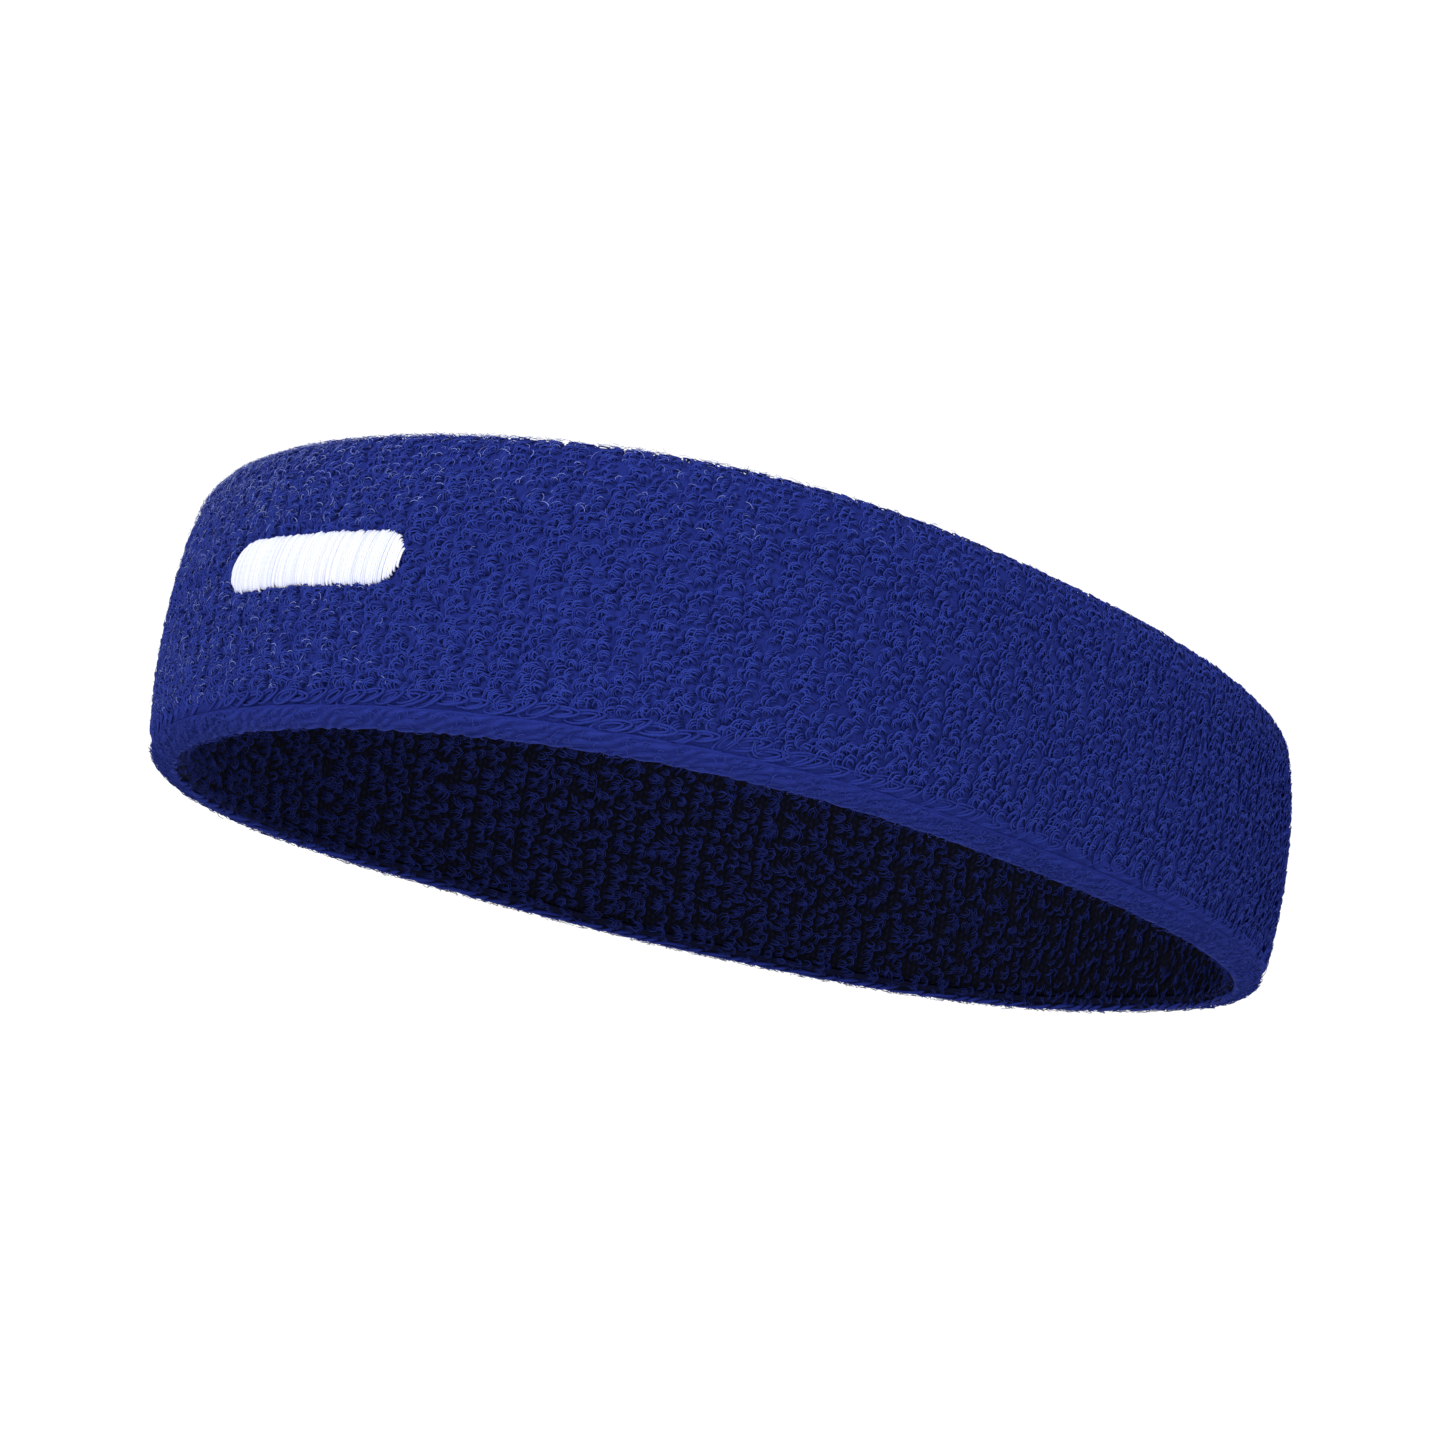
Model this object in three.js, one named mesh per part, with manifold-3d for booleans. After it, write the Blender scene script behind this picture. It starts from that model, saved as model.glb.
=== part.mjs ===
// A terry sports headband, stretched to the oval of a head and standing on its lower edge.
// One knitted tube is folded over along the top edge into a double wall. Its two ends meet at the
// bottom edge in a plain-knit welt, which a chain of linking stitches closes. Covered elastic yarns
// lie between the two layers, and a satin-stitched bar is embroidered through the outer layer.
//
// Millimetres, +Z up. The origin is under the middle of the band, on the plane it stands on.
// The front of the band faces -Y. A place in the wall is given by three numbers: the turn around
// the band (0 to 1), the depth in from the outer surface, and the height above the bottom edge.

import * as THREE from 'three';
import { mergeVertices } from 'three/addons/utils/BufferGeometryUtils.js';
import Module from 'manifold-3d';

const wasm = await Module();
wasm.setup();

// The oval that the band is stretched to, at its outer surface.
const HALF_LENGTH = 104;
const HALF_WIDTH = 78;
const FRONT_ROUNDNESS = 2;
const BACK_ROUNDNESS = 2.6;
const FRONT_BREADTH = 0.16;
const OUTLINE_POINTS = 96;
const AROUND = 60;

// The wall: its height, its crown at mid-height, and how far the top edge draws in.
const HEIGHT = 48;
const CROWN = 2.6;
const DRAW_IN = 0.7;

// The layers through the wall, from the outer surface inwards.
const CLEARANCE = 0.3;
const PILE = 1.8;
const GROUND = 0.7;
const ELASTIC_DIAMETER = 0.6;
const BACKING = 0.3;
const BOBBIN_THREAD = 0.3;
const GROUND_OUT = PILE + CLEARANCE;
const BACKING_AT = GROUND_OUT + GROUND + CLEARANCE;
const BOBBIN_AT = BACKING_AT + BACKING + CLEARANCE;
const ELASTIC_AT = BOBBIN_AT + BOBBIN_THREAD + CLEARANCE;
const GROUND_IN = ELASTIC_AT + ELASTIC_DIAMETER + CLEARANCE + GROUND;
const WALL = GROUND_IN + CLEARANCE + PILE;

// The rounded top edge: its apex is nearer the wearer's side, so the band curls over the brow.
const TOP_APEX = 5;
const TOP_DROP_OUT = 6;
const TOP_DROP_IN = 3;
const FOLD_START_OUT = 39;
const FOLD_START_IN = 41;

// The bottom edge: a rounded outer corner, a flat land to stand on and a small inner corner.
const LAND_FROM = 5;
const LAND_TO = 6.2;
const BOTTOM_RISE_OUT = 5;
const BOTTOM_RISE_IN = 2;

// The welt is a channel that takes the two ends of the tube.
const WELT_TOP_OUT = 3;
const WELT_TOP_IN = 2.6;
const WELT_FLOOR = 2;
const WELT_STEPS = 3;
const WELT_INSET = 0.2;

// The chain of linking stitches lies between the welt and the pile.
const CHAIN_HALF_HEIGHT = 1.1;
const CHAIN_HALF_DEPTH = 0.9;
const CHAIN_SIDES = 8;
const CHAIN_AT = WELT_TOP_OUT + CLEARANCE + CHAIN_HALF_HEIGHT;
const PILE_FROM_OUT = CHAIN_AT + CHAIN_HALF_HEIGHT + CLEARANCE;
const PILE_FROM_IN = WELT_TOP_IN + CLEARANCE;

// The elastic yarns, one laid in every few courses of the knit.
const ELASTICS = 8;
const ELASTIC_LOWEST = 6;
const ELASTIC_HIGHEST = 41.5;
const ELASTIC_SIDES = 4;

// The embroidered bar: where it sits on the front, its size, and how deep it is sunk in the pile.
const EMBLEM_ROUND = 16.5;
const EMBLEM_HEIGHT = 25.5;
const EMBLEM_HALF_LENGTH = 18;
const EMBLEM_HALF_WIDTH = 4.2;
const EMBLEM_SUNK = 0.4;
const BACKING_MARGIN = 3;
const PATCH_STEPS = 20;

const CORNER_STEPS = 3;
const LEVEL_STEP = 11;

// The oval as an egg-shaped superellipse. Its corner exponent changes from front to back.
function ovalPoint(angle) {
  const c = Math.cos(angle);
  const s = Math.sin(angle);
  const exponent = THREE.MathUtils.lerp(BACK_ROUNDNESS, FRONT_ROUNDNESS, (1 - s) / 2);
  const along = (value) => Math.sign(value) * Math.abs(value) ** (2 / exponent);
  return new THREE.Vector3(HALF_WIDTH * along(c) * (1 - FRONT_BREADTH * s), HALF_LENGTH * along(s), 0);
}

// The outline starts at the front, so turn 0 is the -Y end.
const outline = new THREE.CatmullRomCurve3(
  Array.from({ length: OUTLINE_POINTS }, (_, i) =>
    ovalPoint((2 * Math.PI * i) / OUTLINE_POINTS - Math.PI / 2)),
  true,
);
const GIRTH = outline.getLength();

// A place in the wall as a point in space.
function wallPoint(turn, depth, height) {
  const around = ((turn % 1) + 1) % 1;
  const point = outline.getPointAt(around);
  const ahead = outline.getTangentAt(around);
  const up = height / HEIGHT;
  const outward = 4 * CROWN * up * (1 - up) - DRAW_IN * up - depth;
  return new THREE.Vector3(point.x + ahead.y * outward, point.y - ahead.x * outward, height);
}

// Section points up or down one face of a layer, with a level every few millimetres for the crown.
function face(depth, from, to) {
  const steps = Math.max(1, Math.round(Math.abs(to - from) / LEVEL_STEP));
  return Array.from({ length: steps + 1 }, (_, i) =>
    new THREE.Vector2(depth, THREE.MathUtils.lerp(from, to, i / steps)));
}

// Section points of a quarter of an ellipse, from one angle to the next quarter.
function corner(depth, height, across, tall, start, end) {
  return Array.from({ length: CORNER_STEPS - 1 }, (_, i) => {
    const angle = THREE.MathUtils.degToRad(THREE.MathUtils.lerp(start, end, (i + 1) / CORNER_STEPS));
    return new THREE.Vector2(depth + across * Math.cos(angle), height + tall * Math.sin(angle));
  });
}

// How far in the rounded outer corner of the bottom edge is at a height.
function outerCorner(height) {
  const below = Math.max(0, 1 - height / BOTTOM_RISE_OUT);
  return new THREE.Vector2(WELT_INSET + (LAND_FROM - WELT_INSET) * (1 - Math.sqrt(1 - below ** 2)), height);
}

// A ring with the given section: a lathe turned once, then laid around the oval.
function ring(section) {
  const geometry = new THREE.LatheGeometry([...section, section[0]], AROUND);
  const position = geometry.attributes.position;
  const uv = geometry.attributes.uv;
  for (let i = 0; i < position.count; i++) {
    const place = section[Math.round(uv.getY(i) * section.length) % section.length];
    const point = wallPoint(uv.getX(i), place.x, place.y);
    position.setXYZ(i, point.x, point.y, point.z);
  }
  geometry.computeVertexNormals();
  return geometry;
}

// Half the width of the embroidered bar at a distance along it: straight sides, rounded ends.
function barHalfWidth(along, halfLength, halfWidth) {
  const past = Math.max(0, Math.abs(along) - (halfLength - halfWidth));
  return Math.max(0.4 * halfWidth, Math.sqrt(Math.max(0, halfWidth ** 2 - past ** 2)));
}

// A bar-shaped patch, grown by a margin, that follows the wall between two depths.
function patch(from, to, margin) {
  const halfLength = EMBLEM_HALF_LENGTH + margin;
  const halfWidth = EMBLEM_HALF_WIDTH + margin;
  const geometry = new THREE.BoxGeometry(2, 2, 1, PATCH_STEPS, 2, 1);
  const position = geometry.attributes.position;
  for (let i = 0; i < position.count; i++) {
    const along = halfLength * Math.sin((position.getX(i) * Math.PI) / 2);
    const up = position.getY(i) * barHalfWidth(along, halfLength, halfWidth);
    const depth = position.getZ(i) > 0 ? from : to;
    const point = wallPoint((EMBLEM_ROUND + along) / GIRTH, depth, EMBLEM_HEIGHT + up);
    position.setXYZ(i, point.x, point.y, point.z);
  }
  geometry.computeVertexNormals();
  return geometry;
}

// A closed geometry as a solid that can be cut, and a solid as a geometry again.
function solid(geometry) {
  const bare = new THREE.BufferGeometry();
  bare.setAttribute('position', geometry.attributes.position);
  bare.setIndex(geometry.index);
  const merged = mergeVertices(bare, 1e-3);
  return new wasm.Manifold(new wasm.Mesh({
    numProp: 3,
    vertProperties: new Float32Array(merged.attributes.position.array),
    triVerts: new Uint32Array(merged.index.array),
  }));
}

function geometryOf(shape) {
  const mesh = shape.getMesh();
  const geometry = new THREE.BufferGeometry();
  geometry.setAttribute('position', new THREE.BufferAttribute(mesh.vertProperties, 3));
  geometry.setIndex(new THREE.BufferAttribute(mesh.triVerts, 1));
  geometry.computeVertexNormals();
  return geometry;
}

// The finishes: cotton pile, nylon ground knit, plain welt, sewing thread, elastic and backing.
const pileCotton = { color: 0x1a2a8c, roughness: 0.95, metalness: 0 };
const groundNylon = { color: 0x10174a, roughness: 0.8, metalness: 0 };
const weltCotton = { color: 0x1c2f96, roughness: 0.9, metalness: 0 };
const linkingThread = { color: 0x2238a6, roughness: 0.8, metalness: 0 };
const elasticCover = { color: 0x2a3170, roughness: 0.7, metalness: 0 };
const embroideryThread = { color: 0xf4f4fa, roughness: 0.5, metalness: 0 };
const backingFibre = { color: 0xe6e6e6, roughness: 0.9, metalness: 0 };

const headband = new THREE.Group();
headband.name = 'sports_headband';

function add(name, geometry, finish) {
  const mesh = new THREE.Mesh(geometry, new THREE.MeshStandardMaterial(finish));
  mesh.name = name;
  headband.add(mesh);
}

// The cotton pile on the outside of the wall, pressed flat where the bar is embroidered.
function outerPile() {
  const band = ring([
    ...face(0, PILE_FROM_OUT, FOLD_START_OUT),
    ...face(PILE, FOLD_START_OUT, PILE_FROM_OUT),
  ]);
  return geometryOf(solid(band).subtract(solid(patch(-CROWN, GROUND_OUT, CLEARANCE))));
}

// The pile against the wearer's head.
function innerPile() {
  return ring([
    ...face(WALL - PILE, PILE_FROM_IN, FOLD_START_IN),
    ...face(WALL, FOLD_START_IN, PILE_FROM_IN),
  ]);
}

// The pile over the fold, down both sides of the top edge.
function topFold() {
  const outFrom = FOLD_START_OUT + CLEARANCE;
  const inFrom = FOLD_START_IN + CLEARANCE;
  const outTop = HEIGHT - TOP_DROP_OUT;
  const inTop = HEIGHT - TOP_DROP_IN;
  return ring([
    ...face(0, outFrom, outTop),
    ...corner(TOP_APEX, outTop, TOP_APEX, TOP_DROP_OUT, 180, 90),
    new THREE.Vector2(TOP_APEX, HEIGHT),
    ...corner(TOP_APEX, inTop, WALL - TOP_APEX, TOP_DROP_IN, 90, 0),
    ...face(WALL, inTop, inFrom),
    ...face(WALL - PILE, inFrom, inTop),
    ...corner(TOP_APEX, inTop, WALL - PILE - TOP_APEX, TOP_DROP_IN - PILE, 0, 90),
    new THREE.Vector2(TOP_APEX, HEIGHT - PILE),
    ...corner(TOP_APEX, outTop, TOP_APEX - PILE, TOP_DROP_OUT - PILE, 90, 180),
    ...face(PILE, outTop, outFrom),
  ]);
}

// The ground knit: one tube folded over at the top, with its two cut ends in the welt.
function groundKnit() {
  const foot = WELT_FLOOR + CLEARANCE;
  const outTop = HEIGHT - TOP_DROP_OUT;
  const inTop = HEIGHT - TOP_DROP_IN;
  const apexOut = HEIGHT - GROUND_OUT;
  const inner = GROUND_OUT + GROUND;
  return ring([
    ...face(GROUND_OUT, foot, outTop),
    ...corner(TOP_APEX, outTop, TOP_APEX - GROUND_OUT, TOP_DROP_OUT - GROUND_OUT, 180, 90),
    new THREE.Vector2(TOP_APEX, apexOut),
    ...corner(TOP_APEX, inTop, GROUND_IN - TOP_APEX, TOP_DROP_IN - GROUND_OUT, 90, 0),
    ...face(GROUND_IN, inTop, foot),
    ...face(GROUND_IN - GROUND, foot, inTop - GROUND),
    ...corner(TOP_APEX - GROUND, outTop, TOP_APEX - GROUND - inner, TOP_DROP_OUT - inner, 90, 180),
    ...face(inner, outTop, foot),
  ]);
}

// The welt: a channel of plain knit around the bottom edge, with a flat land underneath.
function bottomWelt() {
  const innerFace = WALL - WELT_INSET;
  return ring([
    ...face(PILE, WELT_TOP_OUT, WELT_FLOOR),
    ...face(WALL - PILE, WELT_FLOOR, WELT_TOP_IN),
    ...face(innerFace, WELT_TOP_IN, BOTTOM_RISE_IN),
    ...corner(LAND_TO, BOTTOM_RISE_IN, innerFace - LAND_TO, BOTTOM_RISE_IN, 0, -90),
    new THREE.Vector2(LAND_TO, 0),
    ...Array.from({ length: WELT_STEPS + 1 }, (_, i) => outerCorner(WELT_TOP_OUT * (i / WELT_STEPS) ** 2)),
  ]);
}

// A cord around the band with a round or oval section.
function hoop(depth, height, halfDepth, halfHeight, sides) {
  return ring(Array.from({ length: sides }, (_, i) => {
    const angle = (-2 * Math.PI * i) / sides;
    return new THREE.Vector2(depth + halfDepth * Math.cos(angle), height + halfHeight * Math.sin(angle));
  }));
}

add('outer_terry_pile', outerPile(), pileCotton);
add('inner_terry_pile', innerPile(), pileCotton);
add('top_fold_pile', topFold(), pileCotton);
add('ground_knit_tube', groundKnit(), groundNylon);
add('bottom_welt', bottomWelt(), weltCotton);

const chain = hoop(CHAIN_HALF_DEPTH, CHAIN_AT, CHAIN_HALF_DEPTH, CHAIN_HALF_HEIGHT, CHAIN_SIDES);
add('linking_chain', chain, linkingThread);

for (let i = 0; i < ELASTICS; i++) {
  const radius = ELASTIC_DIAMETER / 2;
  const height = THREE.MathUtils.lerp(ELASTIC_LOWEST, ELASTIC_HIGHEST, i / (ELASTICS - 1));
  const yarn = hoop(ELASTIC_AT + radius, height, radius, radius, ELASTIC_SIDES);
  add(`elastic_yarn_${i + 1}`, yarn, elasticCover);
}

add('emblem_embroidery', patch(EMBLEM_SUNK, PILE, 0), embroideryThread);
add('emblem_backing', patch(BACKING_AT, BACKING_AT + BACKING, BACKING_MARGIN), backingFibre);
add('emblem_bobbin_thread', patch(BOBBIN_AT, BOBBIN_AT + BOBBIN_THREAD, 0), embroideryThread);

export default headband;
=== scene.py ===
# A terry sports headband, stretched to the oval of a head. The pieces follow in the order in which
# the band is made: ground knit, elastic, pile, welt, linking chain, embroidery. Then come the floor,
# the lights and the camera. Fabric is shaped flat, in millimetres, and then laid on the wall.

import math

import bpy
import numpy as np
from mathutils import Matrix


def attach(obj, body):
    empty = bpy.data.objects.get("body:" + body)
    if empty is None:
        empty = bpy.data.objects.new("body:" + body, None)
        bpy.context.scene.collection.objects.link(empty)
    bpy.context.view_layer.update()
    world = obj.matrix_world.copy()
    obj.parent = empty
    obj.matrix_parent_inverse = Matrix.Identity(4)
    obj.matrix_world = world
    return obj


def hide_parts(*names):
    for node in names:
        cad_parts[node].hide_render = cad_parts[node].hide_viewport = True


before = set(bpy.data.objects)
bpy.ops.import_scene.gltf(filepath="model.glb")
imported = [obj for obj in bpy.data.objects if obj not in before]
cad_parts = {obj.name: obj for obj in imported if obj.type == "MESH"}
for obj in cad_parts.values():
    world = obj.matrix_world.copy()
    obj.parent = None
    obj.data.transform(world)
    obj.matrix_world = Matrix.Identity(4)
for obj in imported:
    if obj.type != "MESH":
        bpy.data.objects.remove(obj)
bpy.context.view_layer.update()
bpy.ops.object.select_all(action="DESELECT")
chance = np.random.default_rng(48)


# ---- Ground knit ----------------------------------------------------------------------------
# One tube of stretch-nylon jersey, folded along the top edge into the two layers of the wall.
# It is knitted in the round and holds the feet of the pile. Its two ends go down into the welt.

MM = 0.001
HALF_LENGTH = 104
HALF_WIDTH = 78
FRONT_ROUNDNESS = 2
BACK_ROUNDNESS = 2.6
FRONT_BREADTH = 0.16
HEIGHT = 48
WALL = 8
CROWN = 2.6
DRAW_IN = 0.7
TOP_APEX = 5
TOP_DROP_OUT = 6
TOP_DROP_IN = 3
LEG_FROM = 3
GROUND_INSET = 2.1
GROUND_THICKNESS = 0.7
GROUND_WALES = 262
GROUND_COURSES = 64
OVAL_STEPS = 6000
OUTLINE_STEPS = 3000
AHEAD_STEPS = 4


def oval():
    """The outline of the outer surface from the front round to it again: lengths, points, way ahead."""
    angle = np.linspace(-np.pi / 2, 3 * np.pi / 2, OVAL_STEPS + 1)
    c, s = np.cos(angle), np.sin(angle)
    power = 2 / (BACK_ROUNDNESS + (FRONT_ROUNDNESS - BACK_ROUNDNESS) * (1 - s) / 2)
    x = HALF_WIDTH * np.sign(c) * np.abs(c) ** power * (1 - FRONT_BREADTH * s)
    y = HALF_LENGTH * np.sign(s) * np.abs(s) ** power
    walked = np.append(0, np.cumsum(np.hypot(np.diff(x), np.diff(y))))
    even = np.linspace(0, walked[-1], OUTLINE_STEPS + 1)
    points = np.column_stack([np.interp(even, walked, x), np.interp(even, walked, y)])
    ahead = np.roll(points[:-1], -AHEAD_STEPS, axis=0) - np.roll(points[:-1], AHEAD_STEPS, axis=0)
    ahead = np.vstack([ahead, ahead[:1]])
    return even, points, ahead / np.linalg.norm(ahead, axis=1)[:, None]


ROUND, OUTLINE, AHEAD = oval()
GIRTH = ROUND[-1]


def straight(start, end):
    share = np.linspace(0, 1, 200)[:, None]
    return np.array(start) * (1 - share) + np.array(end) * share


def quarter(centre, across, tall, first):
    """A quarter of an ellipse, clockwise from an angle in degrees."""
    angle = np.radians(np.linspace(first, first - 90, 60))
    return np.column_stack([centre[0] + across * np.cos(angle), centre[1] + tall * np.sin(angle)])


def measured(*runs):
    """Joins runs of (depth, height) points into a section: its lengths, points and directions."""
    points = np.vstack(runs)
    moved = np.append(True, np.linalg.norm(np.diff(points, axis=0), axis=1) > 1e-6)
    points = points[moved]
    lengths = np.append(0, np.cumsum(np.linalg.norm(np.diff(points, axis=0), axis=1)))
    ways = np.gradient(points, lengths, axis=0)
    return lengths, points, ways / np.linalg.norm(ways, axis=1)[:, None]


def folded(inset, *more):
    """The section of a layer that lies inset from the surface: up outside, over the fold, down inside."""
    shoulder_out = HEIGHT - TOP_DROP_OUT
    shoulder_in = HEIGHT - TOP_DROP_IN
    return measured(
        straight((inset, LEG_FROM), (inset, shoulder_out)),
        quarter((TOP_APEX, shoulder_out), TOP_APEX - inset, TOP_DROP_OUT - inset, 180),
        quarter((TOP_APEX, shoulder_in), WALL - TOP_APEX - inset, TOP_DROP_IN - inset, 90),
        straight((WALL - inset, shoulder_in), (WALL - inset, LEG_FROM)),
        *more,
    )


def lay(flat, section):
    """Lays flat fabric on the wall. Its points are (round the band, along the section, out of it)."""
    lengths, points, ways = section
    along, out = flat[..., 1], flat[..., 2]
    depth = np.interp(along, lengths, points[:, 0]) - out * np.interp(along, lengths, ways[:, 1])
    height = np.interp(along, lengths, points[:, 1]) + out * np.interp(along, lengths, ways[:, 0])
    turn = np.mod(flat[..., 0], GIRTH)
    x = np.interp(turn, ROUND, OUTLINE[:, 0])
    y = np.interp(turn, ROUND, OUTLINE[:, 1])
    ahead_x = np.interp(turn, ROUND, AHEAD[:, 0])
    ahead_y = np.interp(turn, ROUND, AHEAD[:, 1])
    up = height / HEIGHT
    outward = 4 * CROWN * up * (1 - up) - DRAW_IN * up - depth
    return np.stack([x + ahead_y * outward, y - ahead_x * outward, height], axis=-1) * MM


def places(piece):
    found = np.empty(len(piece.data.vertices) * 3)
    piece.data.vertices.foreach_get("co", found)
    return found.reshape(-1, 3)


def move(piece, points):
    piece.data.vertices.foreach_set("co", np.ascontiguousarray(points).ravel())
    piece.data.update()


def flat_sheet(name, columns, rows):
    """A flat grid one unit square, with its knit map from 0 to 1 both ways."""
    bpy.ops.mesh.primitive_grid_add(x_subdivisions=columns, y_subdivisions=rows, size=1)
    piece = bpy.context.object
    piece.name = name
    piece.data.name = name
    piece.data.uv_layers[0].name = "knit"
    return piece


def close_seam(piece):
    bpy.ops.object.mode_set(mode="EDIT")
    bpy.ops.mesh.select_all(action="SELECT")
    bpy.ops.mesh.remove_doubles(threshold=0.01 * MM)
    bpy.ops.object.mode_set(mode="OBJECT")
    bpy.ops.object.shade_smooth()


def thicken(piece, thickness):
    wall = piece.modifiers.new("wall", "SOLIDIFY")
    wall.thickness = thickness * MM
    wall.offset = -1
    bpy.ops.object.modifier_apply(modifier=wall.name)


class Dye:
    """A value in the nodes of a finish. Arithmetic on it adds Math nodes, and node() adds any other."""

    def __init__(self, tree, socket=None):
        self.tree = tree
        self.socket = socket

    def node(self, kind, settings, values, output=0):
        new = self.tree.nodes.new("ShaderNode" + kind)
        for key, value in settings.items():
            setattr(new, key, value)
        for key, value in values.items():
            if isinstance(value, Dye):
                self.tree.links.new(value.socket, new.inputs[key])
            else:
                new.inputs[key].default_value = value
        return Dye(self.tree, new.outputs[output])

    def math(self, operation, *values):
        return self.node("Math", {"operation": operation}, dict(enumerate(values)))

    def __add__(self, other):
        return self.math("ADD", self, other)

    def __rsub__(self, other):
        return self.math("SUBTRACT", other, self)

    def __mul__(self, other):
        return self.math("MULTIPLY", self, other)

    def __pow__(self, other):
        return self.math("POWER", self, other)

    __radd__ = __add__
    __rmul__ = __mul__

    def wave(self):
        """A smooth wave from 0 to 1, one for each whole number."""
        return self.math("SINE", self * (2 * math.pi)) * 0.5 + 0.5

    def between(self, first, second):
        """A colour between two colours, by this value from 0 to 1."""
        values = {0: self, 6: first, 7: second}
        return self.node("Mix", {"data_type": "RGBA"}, values, output=2)

    def feed(self, shader, name):
        self.tree.links.new(self.socket, shader.inputs[name])


def finish(name, **surface):
    """A new material with the shader values that are the same all over it."""
    material = bpy.data.materials.new(name)
    material.use_nodes = True
    shader = material.node_tree.nodes["Principled BSDF"]
    for key, value in surface.items():
        shader.inputs[key.replace("_", " ")].default_value = value
    return material, shader, Dye(material.node_tree)


def colour(red, green, blue):
    """A linear colour from its screen values, 0 to 255."""
    linear = [((part / 255 + 0.055) / 1.055) ** 2.4 for part in (red, green, blue)]
    return (*linear, 1)


def wear(piece, material):
    piece.data.materials.clear()
    piece.data.materials.append(material)


NAVY_NYLON = colour(9, 12, 34)
NAVY_NYLON_DEEP = colour(3, 4, 14)
jersey, jersey_shader, dye = finish("ground_nylon_jersey", Specular_IOR_Level=0.05)
knit_map = dye.node("UVMap", {"uv_map": "knit"}, {})
split = dye.node("SeparateXYZ", {}, {0: knit_map})
wale = split * GROUND_WALES
course = dye.node("SeparateXYZ", {}, {0: knit_map}, output=1) * GROUND_COURSES
stitch = (wale * 2).wave() * (course + wale.wave() * 0.5).wave()
stitch.between(NAVY_NYLON_DEEP, NAVY_NYLON).feed(jersey_shader, "Base Color")
(stitch * -0.2 + 0.85).feed(jersey_shader, "Roughness")
relief = dye.node("Bump", {}, {"Height": stitch, "Distance": 0.0002, "Strength": 0.8})
relief.feed(jersey_shader, "Normal")

ground_section = folded(GROUND_INSET)
ground = flat_sheet("ground_knit", GROUND_WALES, GROUND_COURSES // 2)
cells = places(ground) + (0.5, 0.5, 0)
move(ground, lay(cells * (GIRTH, ground_section[0][-1], 1), ground_section))
close_seam(ground)
thicken(ground, GROUND_THICKNESS)
wear(ground, jersey)
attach(ground, "root")
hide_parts("ground_knit_tube")


# ---- Elastic yarns --------------------------------------------------------------------------
# Eight rubber cores covered with textured nylon, laid into the ground between its two layers.
# Each is a closed ring. The covering winds round the core, so its turns cross the yarn at a slant.

COVER_LIGHT = colour(120, 126, 158)
COVER_DARK = colour(38, 42, 74)
covered, covered_shader, dye = finish("covered_elastic", Specular_IOR_Level=0.35)
spot = dye.node("TexCoord", {}, {}, output="Object")
spot_x = dye.node("SeparateXYZ", {}, {0: spot})
spot_y = dye.node("SeparateXYZ", {}, {0: spot}, output=1)
spot_z = dye.node("SeparateXYZ", {}, {0: spot}, output=2)
wound = spot_x.math("ARCTAN2", spot_y, spot_x) * 190 + spot_z * 900
fuzz = dye.node("TexNoise", {}, {"Vector": spot, "Scale": 4000.0, "Detail": 3.0})
turns = (wound + fuzz * 0.4).wave()
turns.between(COVER_DARK, COVER_LIGHT).feed(covered_shader, "Base Color")
(fuzz * 0.3 + 0.5).feed(covered_shader, "Roughness")
relief = dye.node("Bump", {}, {"Height": turns, "Distance": 0.0001, "Strength": 0.7})
relief.feed(covered_shader, "Normal")
for number in range(1, 9):
    wear(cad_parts[f"elastic_yarn_{number}"], covered)


# ---- Terry pile -----------------------------------------------------------------------------
# Cotton loops, each of a few fine plies, knitted in with the ground and standing out of it.
# They lie over one way, towards the top outside and the bottom inside. The outside is brushed
# dense and short, and the inside keeps its larger open loops.

PILE_INSET = 1.0
PLY_SIDES = 3
SHEARING = 0.6
LOOP_SWEEP = 220
LOOP_FOOT = math.sin(math.radians(LOOP_SWEEP / 2 - 90))
LOOP_REACH = 0.8
COURSE_SHIFT = 0.25
COURSE_START = 0.3
PAIRING = 0.2
SIDEWAYS_SPREAD = 0.11
COURSE_SPREAD = 0.16
TWIST_SPREAD = 24
LEAN_SPREAD = 6
LEAN_UP = 12
LEAN_DOWN = 18
FIRST_ROWS = 2
WIDTH_SPREAD = 0.1
RISE_SPREAD = 0.07
TONE_MIDDLE = 0.52
TONE_SPREAD = 0.13
VALLEY_LOW = 0.14
VALLEY_DARK = 0.28
PLY_NESTING = 0.35
PLY_LEAST = 0.05
PLY_TALLEST = 1.06
PLY_STEP_DOWN = 0.13
PLY_SCATTER = 0.05
PLY_KINK = 0.035
PLY_LEAN = 5
PLY_TWIST = 7
PLY_SPIRAL = 0.55
PLY_SPIRAL_SPREAD = 0.3
PLY_TONE_SPREAD = 0.12
# Where the painted shade on the inside of the band begins, and over what length it grows in.
INSIDE_SHADE_LEAD = 6
INSIDE_SHADE_OVER = 10
BAR_ROUND = 16.5
BAR_HEIGHT = 25.5
BAR_HALF_LENGTH = 18
BAR_HALF_WIDTH = 4.2

LAND_FROM = 5
LAND_TO = 6.2
BOTTOM_RISE_IN = 2
FOLD_FROM = 39 - LEG_FROM
FOLD_TO = folded(PILE_INSET)[0][-1] - (41 - LEG_FROM)
OUTER_FROM = 5.0 - LEG_FROM

pile_section = folded(
    PILE_INSET,
    quarter((LAND_TO, BOTTOM_RISE_IN), WALL - LAND_TO - PILE_INSET, BOTTOM_RISE_IN - PILE_INSET, 0),
    straight((LAND_TO, PILE_INSET), (LAND_FROM, PILE_INSET)),
)
INNER_SHORT = 0.1
INNER_TO = pile_section[0][-1] - INNER_SHORT


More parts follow.
